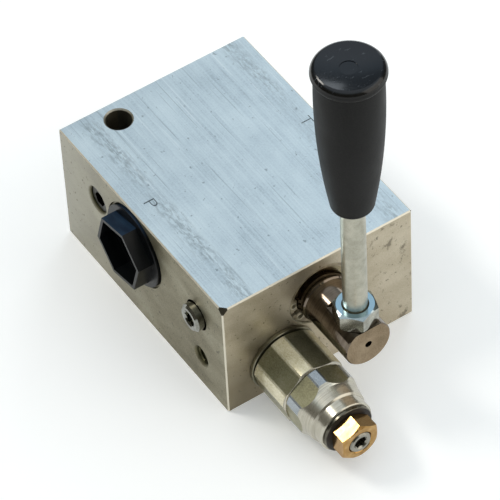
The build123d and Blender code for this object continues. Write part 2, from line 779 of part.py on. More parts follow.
def transit_plug(face):
    """Model a hollow hexagon plug in a port face; its seal ring sits under the flange."""
    section = side_section(face)
    hexagon(face.offset(flange_front), plug_hex_af, plug_hex_out - flange_front, plug_hex_turn)
    turn(section, ring_outline(0, plug_flange_d, flange_back, flange_front, bevel=plug_edge / 2))
    turn(section, [
        (0, flange_front),
        (shank_d / 2, flange_front),
        (shank_d / 2, shank_end + plug_edge),
        (shank_d / 2 - plug_edge, shank_end),
        (0, shank_end),
    ])
    turn(section, ring_outline(shank_d, plug_seal_outer_d, flange_back - plug_edge, plug_seal_front),
         mode=Mode.SUBTRACT)
    turn(section, ring_outline(0, shank_d - 2 * plug_wall, shank_end + plug_floor, flange_front),
         mode=Mode.SUBTRACT)
    hexagon(face.offset(plug_hex_out), plug_hex_af - 2 * plug_hex_wall, flange_front - plug_hex_out,
            plug_hex_turn, mode=Mode.SUBTRACT)


def plug_seal(face):
    """Model the flat seal ring between a plug's flange and the spotface."""
    turn(side_section(face), ring_outline(shank_d + 2 * seat_gap, plug_seal_outer_d - 2 * seat_gap,
                                          flange_back + seat_gap, plug_seal_front - seat_gap, bevel=0.3))


with BuildPart() as pressure_port_plug:
    transit_plug(pressure_face)

with BuildPart() as pressure_plug_seal:
    plug_seal(pressure_face)

with BuildPart() as tank_port_plug:
    transit_plug(tank_face)

with BuildPart() as tank_plug_seal:
    plug_seal(tank_face)

# Plug of the drain port
with BuildPart() as drain_port_plug:
    turn(side_section(drain_face), [
        (0, -drain_plug_inset - drain_plug_length),
        (drain_thread_d / 2 - edge_break, -drain_plug_inset - drain_plug_length),
        (drain_thread_d / 2 - seat_gap, -drain_plug_inset - drain_plug_length + edge_break),
        (drain_thread_d / 2 - seat_gap, -drain_plug_inset - edge_break / 3),
        (drain_thread_d / 2 - edge_break / 3, -drain_plug_inset),
        (0, -drain_plug_inset),
    ])
    hexagon(drain_face.offset(-drain_plug_inset), drain_plug_key_af, -drain_plug_length / 2,
            mode=Mode.SUBTRACT)

# Seal rings of the two motor ports, squeezed flush with the motor face
motor_seal_wire_r = motor_seal_recess_depth / 2 - seat_gap
with BuildPart() as motor_port_a_seal:
    with Locations((spool_x, motor_port_a_y, motor_seal_recess_depth / 2)):
        Torus(motor_seal_d / 2, motor_seal_wire_r)

with BuildPart() as motor_port_b_seal:
    with Locations((spool_x, motor_port_b_y, motor_seal_recess_depth / 2)):
        Torus(motor_seal_d / 2, motor_seal_wire_r)

pieces = {
    "valve_block": valve_block,
    "spool_circlip": spool_circlip,
    "spool_gland": spool_gland,
    "gland_outer_seal": gland_outer_seal,
    "spool_shaft_seal": spool_shaft_seal,
    "spool_thrust_washer": spool_thrust_washer,
    "rotary_spool": rotary_spool,
    "spool_stop_screw": spool_stop_screw,
    "lever_rod": lever_rod,
    "lever_lock_nut": lever_lock_nut,
    "lever_grip": lever_grip,
    "relief_washer": relief_washer,
    "relief_body": relief_body,
    "relief_nose_seal": relief_nose_seal,
    "relief_seat": relief_seat,
    "relief_poppet": relief_poppet,
    "relief_spring": relief_spring,
    "relief_spring_guide": relief_spring_guide,
    "relief_bonnet": relief_bonnet,
    "relief_bonnet_seal": relief_bonnet_seal,
    "relief_adjuster_screw": relief_adjuster_screw,
    "relief_end_seal": relief_end_seal,
    "relief_lock_nut": relief_lock_nut,
    "pressure_port_plug": pressure_port_plug,
    "pressure_plug_seal": pressure_plug_seal,
    "tank_port_plug": tank_port_plug,
    "tank_plug_seal": tank_plug_seal,
    "drain_port_plug": drain_port_plug,
    "motor_port_a_seal": motor_port_a_seal,
    "motor_port_b_seal": motor_port_b_seal,
}

makedirs("parts", exist_ok=True)
for name, piece in pieces.items():
    piece.part.label = name
    export_step(piece.part, f"parts/{name}.step")
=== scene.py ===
from math import cos, radians, sin

import bpy
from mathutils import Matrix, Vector


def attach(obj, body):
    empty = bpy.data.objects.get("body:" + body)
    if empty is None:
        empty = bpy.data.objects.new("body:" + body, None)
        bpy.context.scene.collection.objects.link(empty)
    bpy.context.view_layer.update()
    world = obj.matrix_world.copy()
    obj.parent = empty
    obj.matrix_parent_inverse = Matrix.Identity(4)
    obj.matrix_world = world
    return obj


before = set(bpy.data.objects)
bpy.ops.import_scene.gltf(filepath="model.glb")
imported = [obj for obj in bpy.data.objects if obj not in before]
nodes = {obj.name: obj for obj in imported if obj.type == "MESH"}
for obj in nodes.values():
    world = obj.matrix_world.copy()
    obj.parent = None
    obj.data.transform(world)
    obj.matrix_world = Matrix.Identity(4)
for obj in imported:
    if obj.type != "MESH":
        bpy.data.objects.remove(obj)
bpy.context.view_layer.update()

mm = 0.001

# Where things lie on the valve, as in the CAD model
block_x = 36.4 * mm
front_y = -48.2 * mm
block_top = 50.0 * mm
spool_x, spool_z = 1.0 * mm, 33.5 * mm
relief_x, relief_z = -15.0 * mm, 13.8 * mm
port_y, port_z = 4.0 * mm, 33.5 * mm
drain_y, drain_z = 26.3 * mm, 35.0 * mm
spare_y, spare_z = -33.4 * mm, 14.0 * mm
stop_y, stop_z = -32.4 * mm, spool_z
bolt_holes = ((-18.0 * mm, 40.4 * mm), (28.0 * mm, -32.4 * mm))
grip_bead_z = 149.7 * mm
clip_eye_radius = 10.26 * mm
clip_eyes = (180.7, 219.3)
washer_rim = 8.64 * mm

# How far in from the block's outline its broken edges and its cut corner reach
edge_zone = 2.5 * mm

# Radii that just take in the walls of the holes
drain_mouth = 5.9 * mm
spare_mouth = 4.3 * mm
stop_mouth = 5.8 * mm
bolt_mouth = 4.9 * mm
bore_mouth = 12.7 * mm

# Radii of the walls that the thread ridges stand on, and the pitches: 14 to the inch in the hose ports, and
# that of M8 in the spare hole
plug_wall = 10.35 * mm
port_wall = 10.45 * mm
spare_wall = 3.4 * mm
port_pitch = 1.814 * mm
spare_pitch = 1.25 * mm

# How high the port marks are
mark_height = 3.85 * mm

# How much the floor glows where it is seen, so that it comes out white
floor_glow = 0.20

scene = bpy.context.scene
scene.view_settings.view_transform = "Standard"
bpy.ops.object.select_all(action="DESELECT")


def srgb(code):
    """Turn a hex colour such as A0B0C0 into linear red, green, blue and alpha."""
    parts = [int(code[i:i + 2], 16) / 255 for i in (0, 2, 4)]
    return [c / 12.92 if c <= 0.04045 else ((c + 0.055) / 1.055) ** 2.4 for c in parts] + [1.0]


def feed(node, values):
    """Give a node's inputs, by name or number, their values or the outputs that drive them."""
    for key, value in values.items():
        if isinstance(value, bpy.types.NodeSocket):
            node.id_data.links.new(value, node.inputs[key])
        else:
            node.inputs[key].default_value = value


def add(tree, kind, *values, output=0, stops=(), **settings):
    """Add a shader node with its settings and links, and return one of its outputs.

    Values fill its inputs in order, or one dictionary fills them by name or number. Stops are a colour ramp's
    places, in rising order, with their hex colours. A Mix node's inputs are 0 for the second value's share,
    then 2 and 3 for two numbers, or 6 and 7 for two colours, which come out of output 2.
    """
    node = tree.nodes.new("ShaderNode" + kind)
    for key, value in settings.items():
        setattr(node, key, value)
    feed(node, values[0] if values and isinstance(values[0], dict) else dict(enumerate(values)))
    for i, (place, code) in enumerate(stops):
        element = node.color_ramp.elements[i] if i < 2 else node.color_ramp.elements.new(place)
        element.position, element.color = place, srgb(code)
    return node.outputs[output]


def grain(tree, size, detail=3.0, roughness=0.55, shift=(0, 0, 0)):
    """A pattern fixed to the object; size is one feature's millimetres, as one number or one for each axis.

    Cutter lines, turning rings, plating crystals and moulding grain are finer on the real valve than a render
    can show, so they are drawn 0.25 to 0.67 mm wide, as coarse as they need to show.
    """
    sizes = size if isinstance(size, tuple) else (size, size, size)
    place = {"Vector": add(tree, "TexCoord", output="Object"), "Location": shift,
             "Scale": [1 / (length * mm) for length in sizes]}
    look = {"Vector": add(tree, "Mapping", place), "Scale": 1.0, "Detail": detail, "Roughness": roughness}
    return add(tree, "TexNoise", look, output="Fac")


def off_axis(tree, centre, across):
    """How far each point is from an axis through centre; across has ones for the directions square to it."""
    place = add(tree, "TexCoord", output="Object")
    offset = add(tree, "VectorMath", place, centre, operation="SUBTRACT")
    flat = add(tree, "VectorMath", offset, across, operation="MULTIPLY")
    return add(tree, "VectorMath", flat, operation="LENGTH", output="Value")


def finish(name, **constants):
    """Start a material whose constants sit on the shader itself; returns it with its tree and shader."""
    material = bpy.data.materials.new(name)
    material.use_nodes = True
    tree = material.node_tree
    shader = tree.nodes["Principled BSDF"]
    feed(shader, {key.replace("_", " "): value for key, value in constants.items()})
    return material, tree, shader


def wear(node_names, material):
    """Give CAD nodes their finish."""
    for name in node_names:
        for slot in nodes[name].material_slots:
            slot.material = material


# Camera at the photograph's angle: a long lens from the front left, above
camera_data = bpy.data.cameras.new("camera")
camera = bpy.data.objects.new("camera", camera_data)
scene.collection.objects.link(camera)
camera.location = (-0.43987, -0.72800, 0.97971)
camera.rotation_euler = (radians(41.209), radians(2.202), radians(-33.920))
camera_data.sensor_width = 36
camera_data.lens = 281.15
camera_data.clip_start = 0.05
scene.camera = camera


# Milled aluminium block: fine cutter lines run along the top, painted bright and pale blue as a sky
# reflection; the sides are satin with handling marks
def milled_aluminium():
    material, tree, shader = finish("milled_aluminium_block", Metallic=1.0)
    coordinates = add(tree, "TexCoord").node.outputs
    normal = add(tree, "SeparateXYZ", coordinates["Normal"]).node.outputs
    place = add(tree, "SeparateXYZ", coordinates["Object"]).node.outputs

    # Top: a painted pale blue sky reflection, with cutter lines along Y, drawn 0.4 mm apart, among scores,
    # cloudy patches and small nicks
    lines = grain(tree, (0.4167, 100, 100), detail=2.0)
    scores = grain(tree, (1.111, 62.5, 62.5), shift=(0.3, 0, 0))
    dark_scores = add(tree, "MapRange", scores, 0.36, 0.30)
    bright_scores = add(tree, "MapRange", scores, 0.66, 0.70)
    clouds = grain(tree, (16.67, 22.22, 16.67), detail=6.0, roughness=0.6)
    specks = grain(tree, 0.6667)
    nicks = add(tree, "MapRange", grain(tree, (1.923, 2.381, 1.923), detail=4.0), 0.655, 0.70)
    top_tone = add(tree, "Math", clouds, 0.45, operation="MULTIPLY")
    for pattern, share in ((specks, 0.25), (lines, 0.30)):
        top_tone = add(tree, "Math", pattern, share, top_tone, operation="MULTIPLY_ADD")
    sky_lit_top_colour = add(tree, "ValToRGB", top_tone,
                     stops=((0.36, "B5C3CB"), (0.46, "C9D7DF"), (0.54, "D1DFE6"), (0.66, "DBE8EE")))

    # Clamping left a broken grey band along each long side of the top
    between_bands, band_out = 1.5 * mm, 28.5 * mm
    from_band = place["X"]
    for distance in (between_bands, band_out):
        from_band = add(tree, "Math", from_band, distance, operation="SUBTRACT")
        from_band = add(tree, "Math", from_band, operation="ABSOLUTE")
    band = add(tree, "MapRange", from_band, 4.2 * mm, 1.2 * mm)
    broken = grain(tree, (1.111, 4.167, 1.111), detail=6.0, roughness=0.75)
    for patches in (add(tree, "MapRange", broken, 0.43, 0.60), add(tree, "MapRange", clouds, 0.38, 0.52)):
        band = add(tree, "Math", band, patches, operation="MULTIPLY")
    for mask, strength, code in ((dark_scores, 0.5, "8E9CA3"), (bright_scores, 0.6, "E4EEF3"),
                                 (nicks, 0.5, "66737A"), (band, 0.6, "7F8A8F")):
        share = add(tree, "Math", mask, strength, operation="MULTIPLY")
        sky_lit_top_colour = add(tree, "Mix", {0: share, 6: sky_lit_top_colour, 7: srgb(code)}, data_type="RGBA", output=2)

    # Sides: fine grain, broad handling marks and small dark pits, paler towards the rear
    fine = grain(tree, 0.4545)
    marks = grain(tree, (13.33, 16.67, 9.091), detail=6.0, roughness=0.6)
    pits = add(tree, "MapRange", grain(tree, 1.5625, detail=4.0), 0.64, 0.69)
    side_tone = add(tree, "Mix", {0: 0.40, 2: marks, 3: fine})
    side_colour = add(tree, "ValToRGB", side_tone,
                      stops=((0.34, "69644F"), (0.46, "88826D"), (0.56, "9A9581"), (0.70, "B0AC9A")))
    rearward = add(tree, "MapRange", place["Y"], -5 * mm, 48 * mm, 0.0, 0.55)
    side_colour = add(tree, "Mix", {0: rearward, 6: side_colour, 7: srgb("BFBDB4")},
                      data_type="RGBA", output=2)

    # Front: painted paler than the sides as the light on it, with the cartridge's painted shadow low on the
    # left, and blotted on the right
    lit_front_colour = add(tree, "ValToRGB", side_tone,
                       stops=((0.34, "AFA48D"), (0.46, "BCB19B"), (0.56, "C7BDA8"), (0.70, "D2C8B5")))
    cartridge_shadow = add(tree, "MapRange", place["Z"], 32 * mm, 10 * mm)
    leftward = add(tree, "MapRange", place["X"], -8 * mm, -30 * mm, 0.0, 0.75)
    rightward = add(tree, "MapRange", place["X"], 12 * mm, 24 * mm, 0.0, 0.7)
    spots = add(tree, "MapRange", grain(tree, (4.348, 4.348, 5.263), detail=6.0, roughness=0.65), 0.57, 0.66)
    for mask, strength, code in ((cartridge_shadow, leftward, "7C725A"), (spots, rightward, "6E6656")):
        share = add(tree, "Math", mask, strength, operation="MULTIPLY")
        lit_front_colour = add(tree, "Mix", {0: share, 6: lit_front_colour, 7: srgb(code)},
                           data_type="RGBA", output=2)

    # Broken edges slant, the cut corner along all three axes, and both lie on the rims of at least two faces
    slopes = [add(tree, "Math", normal[axis], operation="ABSOLUTE") for axis in "XYZ"]
    steepest = least = slopes[0]
    for slope in slopes[1:]:
        steepest = add(tree, "Math", steepest, slope, operation="MAXIMUM")
        least = add(tree, "Math", least, slope, operation="MINIMUM")
    from_centre = add(tree, "Math", place["Z"], block_top / 2, operation="SUBTRACT")
    rims = 0.0
    for reach, limit in ((place["X"], block_x), (place["Y"], -front_y), (from_centre, block_top / 2)):
        reach = add(tree, "Math", reach, operation="ABSOLUTE")
        near_rim = add(tree, "Math", reach, limit - edge_zone, operation="GREATER_THAN")
        rims = add(tree, "Math", rims, near_rim, operation="ADD")
    outer = add(tree, "Math", rims, 1.5, operation="GREATER_THAN")
    slanted = add(tree, "Math", steepest, 0.9, operation="LESS_THAN")
    # The broken edges get a painted highlight and the cut corner a painted shade
    edge_highlight = add(tree, "Math", slanted, outer, operation="MULTIPLY")
    corner = add(tree, "Math", add(tree, "MapRange", least, 0.30, 0.36), outer, operation="MULTIPLY")

    # Painted shade on the walls of the tapped and drilled holes. Each row gives the depth below the hole's
    # face, the hole's axis and radius, the depths at which the shade starts, is full and ends, and how dark
    # it is.
    from_left = add(tree, "Math", place["X"], block_x, operation="ADD")
    from_front = add(tree, "Math", place["Y"], front_y, operation="SUBTRACT")
    from_top = add(tree, "Math", block_top, place["Z"], operation="SUBTRACT")
    holes = [(from_left, (0, y, z), (0, 1, 1), radius, 0.05 * mm, 0.6 * mm, 20 * mm, 1.0)
             for y, z, radius in ((drain_y, drain_z, drain_mouth), (spare_y, spare_z, spare_mouth),
                                  (stop_y, stop_z, stop_mouth))]
    holes += [(from_top, (x, y, 0), (1, 1, 0), bolt_mouth, 0.2 * mm, 0.8 * mm, 60 * mm, 0.5)
              for x, y in bolt_holes]
    holes += [(from_front, (spool_x, 0, spool_z), (1, 0, 1), bore_mouth,
               0.25 * mm, 0.5 * mm, 80 * mm, 1.0)]
    hole_shade = 0.0
    for depth, centre, across, radius, start, full, end, darkness in holes:
        wall = add(tree, "MapRange", depth, start, full, 0.0, darkness)
        near_axis = add(tree, "Math", off_axis(tree, centre, across), radius, operation="LESS_THAN")
        shallow = add(tree, "Math", depth, end, operation="LESS_THAN")
        for mask in (near_axis, shallow):
            wall = add(tree, "Math", wall, mask, operation="MULTIPLY")
        hole_shade = add(tree, "Math", hole_shade, wall, operation="MAXIMUM")

    # The faces first, then the painted highlight on the broken edges, the painted shade on the cut corner and
    # on the walls of the holes
    forward = add(tree, "Math", normal["Y"], -0.9, operation="LESS_THAN")
    upward = add(tree, "Math", normal["Z"], 0.93, operation="GREATER_THAN")
    high = add(tree, "Math", place["Z"], block_top - 0.1 * mm, operation="GREATER_THAN")
    top = add(tree, "Math", upward, high, operation="MULTIPLY")
    colour = side_colour
    for mask, strength, over in ((forward, 1.0, lit_front_colour), (pits, 0.6, srgb("4A473B")),
                                 (top, 1.0, sky_lit_top_colour), (edge_highlight, 0.75, srgb("F0EADA")),
                                 (corner, 1.0, srgb("4A463B")), (hole_shade, 1.0, srgb("5A5741"))):
        share = add(tree, "Math", mask, strength, operation="MULTIPLY")
        colour = add(tree, "Mix", {0: share, 6: colour, 7: over}, data_type="RGBA", output=2)

    shine = add(tree, "Math", clouds, lines, operation="ADD")
    top_roughness = add(tree, "MapRange", shine, 0.7, 1.3, 0.32, 0.46)
    side_roughness = add(tree, "MapRange", side_tone, 0.3, 0.7, 0.42, 0.58)
    top_relief = add(tree, "Math", lines, nicks, operation="SUBTRACT")
    side_relief = add(tree, "Math", fine, pits, operation="SUBTRACT")
    relief = add(tree, "Mix", {0: top, 2: side_relief, 3: top_relief})
    feed(shader, {"Base Color": colour,
                  "Roughness": add(tree, "Mix", {0: top, 2: side_roughness, 3: top_roughness}),
                  "Normal": add(tree, "Bump", {"Height": relief, "Distance": 0.012 * mm, "Strength": 0.8})})
    return material


# Turned steel: fine rings round the turning axis, spacing millimetres apart, a little darker in their grooves
def turned_steel(name, dark, light, roughness, spacing=0.25, metallic=1.0):
    material, tree, shader = finish(name, Metallic=metallic)
    rings = grain(tree, (83.33, spacing, 83.33), detail=2.0)
    tone = add(tree, "Mix", {0: 0.5, 2: grain(tree, 6.25, detail=4.0), 3: rings})
    feed(shader, {"Base Color": add(tree, "ValToRGB", tone, stops=((0.32, dark), (0.62, light))),
                  "Roughness": add(tree, "MapRange", tone, 0.3, 0.7, roughness * 0.85, roughness * 1.2),
                  "Normal": add(tree, "Bump", {"Height": rings, "Distance": 0.006 * mm, "Strength": 0.7})})
    return material


# Ground spool steel: a dark polished stem with faint rings, and a browner, satin faced end
def ground_spool():
    material, tree, shader = finish("ground_spool_steel", Metallic=1.0)
    facing = add(tree, "SeparateXYZ", add(tree, "TexCoord", output="Normal"), output="Y")
    forward = add(tree, "Math", facing, -0.9, operation="LESS_THAN")
    rings = grain(tree, (83.33, 0.4, 83.33), detail=2.0)
    clouds = grain(tree, 5.882, detail=5.0)
    specks = grain(tree, 0.4167)
    tone = add(tree, "Mix", {0: 0.4, 2: clouds, 3: rings})
    end_tone = add(tree, "Mix", {0: 0.5, 2: clouds, 3: specks})
    stem = add(tree, "ValToRGB", tone, stops=((0.34, "4E443A"), (0.62, "7C7165")))
    end = add(tree, "ValToRGB", end_tone, stops=((0.34, "716149"), (0.50, "8D7B62"), (0.66, "A5947B")))
    stem_roughness = add(tree, "MapRange", tone, 0.3, 0.7, 0.09, 0.14)
    end_roughness = add(tree, "MapRange", end_tone, 0.3, 0.7, 0.34, 0.46)
    relief = add(tree, "Mix", {0: forward, 2: rings, 3: specks})
    feed(shader, {"Base Color": add(tree, "Mix", {0: forward, 6: stem, 7: end}, data_type="RGBA", output=2),
                  "Roughness": add(tree, "Mix", {0: forward, 2: stem_roughness, 3: end_roughness}),
                  "Normal": add(tree, "Bump", {"Height": relief, "Distance": 0.002 * mm, "Strength": 0.7})})
    return material


# Zinc plating: smooth and slightly mottled, with a painted blue sky reflection on what faces up where a sky
# colour is given
def zinc_plating(name, dark, light, roughness, sky_sheen=None):
    material, tree, shader = finish(name, Metallic=1.0)
    specks = grain(tree, 0.3846, detail=2.0)
    tone = add(tree, "Mix", {0: 0.7, 2: specks, 3: grain(tree, 3.030, detail=4.0)})
    colour = add(tree, "ValToRGB", tone, stops=((0.32, dark), (0.66, light)))
    if sky_sheen is not None:
        upward = add(tree, "SeparateXYZ", add(tree, "TexCoord", output="Normal"), output="Z")
        bloom_and_sky_sheen = add(tree, "MapRange", upward, 0.80, 0.97)
        colour = add(tree, "Mix", {0: bloom_and_sky_sheen, 6: colour, 7: srgb(sky_sheen)}, data_type="RGBA", output=2)
    feed(shader, {"Base Color": colour,
                  "Roughness": add(tree, "MapRange", tone, 0.3, 0.7, roughness * 1.25, roughness * 0.8),
                  "Normal": add(tree, "Bump", {"Height": specks, "Distance": 0.004 * mm, "Strength": 0.6})})
    return material


# Plated cartridge steel: satin olive rolled flats, turned corners that are brighter and also carry a painted
# highlight, a silvery turned cone and neck
def plated_hexagon(name, corner_radius, neck_out, corner_dark, corner_light, corner_metal):
    material, tree, shader = finish(name)
    coordinates = add(tree, "TexCoord").node.outputs
    radius = off_axis(tree, (relief_x, 0, relief_z), (1, 0, 1))
    corner = add(tree, "MapRange", radius, corner_radius - 0.05 * mm, corner_radius + 0.05 * mm)
    lean = add(tree, "SeparateXYZ", coordinates["Normal"], output="Y")
    lean = add(tree, "Math", lean, operation="ABSOLUTE")
    out = add(tree, "SeparateXYZ", coordinates["Object"], output="Y")
    neck = add(tree, "Math", out, front_y - neck_out, operation="LESS_THAN")
    turned = add(tree, "Math", add(tree, "MapRange", lean, 0.05, 0.12), neck, operation="MAXIMUM")
    clouds = grain(tree, 7.143, detail=4.0)
    specks = grain(tree, (0.3846, 0.7143, 0.3846))
    rings = grain(tree, (16.67, 0.2778, 16.67), detail=2.0)
    tone = add(tree, "Mix", {0: 0.5, 2: specks, 3: clouds})
    turned_tone = add(tree, "Mix", {0: 0.6, 2: clouds, 3: rings})
    colour = add(tree, "ValToRGB", tone, stops=((0.32, "7A775F"), (0.50, "9B987A"), (0.66, "B3AF94")))
    # The turned corners' pale, less metallic colour is a painted highlight
    corner_highlight = add(tree, "ValToRGB", tone, stops=((0.32, corner_dark), (0.66, corner_light)))
    silver = add(tree, "ValToRGB", turned_tone, stops=((0.32, "A9A496"), (0.62, "CBC6B7")))
    for mask, over in ((corner, corner_highlight), (turned, silver)):
        colour = add(tree, "Mix", {0: mask, 6: colour, 7: over}, data_type="RGBA", output=2)
    shiny = add(tree, "Math", turned, corner, operation="MAXIMUM")
    flat_roughness = add(tree, "MapRange", tone, 0.35, 0.65, 0.40, 0.30)
    turned_roughness = add(tree, "MapRange", turned_tone, 0.35, 0.65, 0.26, 0.19)
    faint_rings = add(tree, "Math", rings, 0.4, operation="MULTIPLY")
    relief = add(tree, "Mix", {0: turned, 2: specks, 3: faint_rings})
    feed(shader, {"Base Color": colour,
                  "Metallic": add(tree, "MapRange", corner, 0.0, 1.0, 0.85, corner_metal),
                  "Roughness": add(tree, "Mix", {0: shiny, 2: flat_roughness, 3: turned_roughness}),
                  "Normal": add(tree, "Bump", {"Height": relief, "Distance": 0.0025 * mm, "Strength": 0.6})})
    return material


# Machined brass: a bright hexagon with fine lines, brownish in its hollows
def machined_brass():
    material, tree, shader = finish("machined_brass", Metallic=1.0)
    lines = grain(tree, (2, 0.25, 2), detail=2.0)
    tone = add(tree, "Mix", {0: 0.6, 2: lines, 3: grain(tree, 3.846, detail=4.0)})
    colour = add(tree, "ValToRGB", tone, stops=((0.30, "94703F"), (0.52, "B08B55"), (0.72, "D2B27E")))
    feed(shader, {"Base Color": colour,
                  "Roughness": add(tree, "MapRange", tone, 0.3, 0.7, 0.22, 0.12),
                  "Normal": add(tree, "Bump", {"Height": lines, "Distance": 0.004 * mm, "Strength": 0.5})})
    return material


# Moulded thermoplastic grip: spark-eroded matt flank, glossy scuffed bead and top, with a painted blue sky
# reflection on what faces up
def grip_plastic():
    material, tree, shader = finish("moulded_grip_plastic", IOR=1.49, Specular_IOR_Level=0.18,
                                    Coat_Roughness=0.12)
    coordinates = add(tree, "TexCoord").node.outputs
    height = add(tree, "SeparateXYZ", coordinates["Object"], output="Z")
    upward = add(tree, "SeparateXYZ", coordinates["Normal"], output="Z")
    head = add(tree, "MapRange", height, grip_bead_z + 2.2 * mm, grip_bead_z + 3.2 * mm)
    erosion = grain(tree, 0.4545)
    smears = grain(tree, (11.11, 11.11, 18.18), detail=4.0)
    scuffs = add(tree, "MapRange", grain(tree, (2.381, 1.111, 2.381), detail=4.0), 0.63, 0.69, 0.0, 0.35)
    speckled = add(tree, "Mix", {0: 0.7, 2: smears, 3: erosion})
    colour = add(tree, "ValToRGB", speckled, stops=((0.38, "070707"), (0.62, "151412")))
    sky_sheen = add(tree, "MapRange", upward, 0.6, 1.0, 0.0, 0.8)
    scuffed = add(tree, "Math", scuffs, head, operation="MULTIPLY")
    for mask, code in ((sky_sheen, "121A24"), (scuffed, "5C6268")):
        colour = add(tree, "Mix", {0: mask, 6: colour, 7: srgb(code)}, data_type="RGBA", output=2)
    matt = add(tree, "MapRange", smears, 0.3, 0.7, 0.46, 0.58)
    gloss = add(tree, "MapRange", smears, 0.3, 0.7, 0.12, 0.24)
    flank = add(tree, "Math", 1.0, head, operation="SUBTRACT")
    relief = add(tree, "Math", erosion, flank, operation="MULTIPLY")
    feed(shader, {"Base Color": colour,
                  "Coat Weight": add(tree, "Math", head, 0.45, operation="MULTIPLY"),
                  "Roughness": add(tree, "Mix", {0: head, 2: matt, 3: gloss}),
                  "Normal": add(tree, "Bump", {"Height": relief, "Distance": 0.02 * mm, "Strength": 0.5})})
    return material


# Moulded polyethylene transit plug: blue-black, softly shining, with a painted blue sky reflection where it
# faces up
def plug_plastic():
    material, tree, shader = finish("polyethylene_plug", IOR=1.51, Specular_IOR_Level=0.22)
    coordinates = add(tree, "TexCoord").node.outputs
    height = add(tree, "SeparateXYZ", coordinates["Object"], output="Z")
    upward = add(tree, "SeparateXYZ", coordinates["Normal"], output="Z")
    flow = grain(tree, (3.846, 11.11, 11.11), detail=4.0)
    specks = grain(tree, 0.5556, detail=2.0)
    dark = add(tree, "ValToRGB", flow, stops=((0.35, "050708"), (0.65, "0B0D0F")))
    blue = add(tree, "ValToRGB", flow, stops=((0.35, "14253A"), (0.65, "233A50")))
    sky_sheen = add(tree, "MapRange", upward, 0.8, 0.96, 0.0, 0.75)
    outside = add(tree, "Math", height, port_z, operation="GREATER_THAN")
    bloom_and_sky_sheen = add(tree, "Math", sky_sheen, outside, operation="MULTIPLY")
    feed(shader, {"Base Color": add(tree, "Mix", {0: bloom_and_sky_sheen, 6: dark, 7: blue}, data_type="RGBA", output=2),
                  "Roughness": add(tree, "MapRange", flow, 0.3, 0.7, 0.28, 0.40),
                  "Normal": add(tree, "Bump", {"Height": specks, "Distance": 0.015 * mm, "Strength": 0.5})})
    return material


# Nitrile rubber and PTFE seals: matt, with a faint bloom
def seal_rubber(name, dark, light):
    material, tree, shader = finish(name, IOR=1.52)
    bloom_and_sky_sheen = grain(tree, 1.429, detail=4.0)
    feed(shader, {"Base Color": add(tree, "ValToRGB", bloom_and_sky_sheen, stops=((0.35, dark), (0.70, light))),
                  "Roughness": add(tree, "MapRange", bloom_and_sky_sheen, 0.3, 0.7, 0.55, 0.75),
                  "Normal": add(tree, "Bump", {"Height": bloom_and_sky_sheen, "Distance": 0.02 * mm, "Strength": 0.4})})
    return material


# Bonded washer: a matt nitrile ring in a plain steel rim
def bonded_washer():
    material, tree, shader = finish("bonded_washer")
    radius = off_axis(tree, (relief_x, 0, relief_z), (1, 0, 1))
    rim = add(tree, "MapRange", radius, washer_rim - 0.02 * mm, washer_rim + 0.02 * mm)
    clouds = grain(tree, 2.381, detail=4.0)
    rubber = add(tree, "ValToRGB", clouds, stops=((0.35, "17130F"), (0.68, "2A231C")))
    steel = add(tree, "ValToRGB", clouds, stops=((0.35, "4C493F"), (0.68, "7A766A")))
    feed(shader, {"Base Color": add(tree, "Mix", {0: rim, 6: rubber, 7: steel}, data_type="RGBA", output=2),
                  "Metallic": rim,
                  "Roughness": add(tree, "Mix", {0: rim, 2: 0.6, 3: 0.25}),
                  "Normal": add(tree, "Bump", {"Height": clouds, "Distance": 0.01 * mm, "Strength": 0.4})})
    return material


# Phosphated spring steel: brown-grey, painted paler to stand out of the bore's shade, with a painted
# highlight on the rims of the circlip's two eyes
def phosphated_spring():
    material, tree, shader = finish("phosphated_spring_steel", Metallic=0.35)
    clouds = grain(tree, 2, detail=4.0)
    colour = add(tree, "ValToRGB", clouds, stops=((0.35, "857862"), (0.66, "B5A789")))
    # Painted highlight on each eye's rim
    for angle in clip_eyes:
        eye_x = spool_x + clip_eye_radius * cos(radians(angle))
        eye_z = spool_z + clip_eye_radius * sin(radians(angle))
        radius = off_axis(tree, (eye_x, 0, eye_z), (1, 0, 1))
        inside = add(tree, "MapRange", radius, 1.5 * mm, 1.3 * mm, 0.0, 0.8)
        outside = add(tree, "MapRange", radius, 0.90 * mm, 0.96 * mm)
        rim = add(tree, "Math", inside, outside, operation="MULTIPLY")
        colour = add(tree, "Mix", {0: rim, 6: colour, 7: srgb("C9C0A6")}, data_type="RGBA", output=2)
    feed(shader, {"Base Color": colour,
                  "Roughness": add(tree, "MapRange", clouds, 0.3, 0.7, 0.28, 0.42),
                  "Normal": add(tree, "Bump", {"Height": clouds, "Distance": 0.01 * mm, "Strength": 0.4})})
    return material


# Engraved port mark: dull aluminium, painted dark as the shade inside engraved grooves
def engraved_mark():
    material, tree, shader = finish("engraved_mark", Metallic=0.6)
    groove_shade = grain(tree, 1.111)
    feed(shader, {"Base Color": add(tree, "ValToRGB", groove_shade, stops=((0.35, "3F474C"), (0.65, "69747A"))),
                  "Roughness": add(tree, "MapRange", groove_shade, 0.3, 0.7, 0.45, 0.6)})
    return material


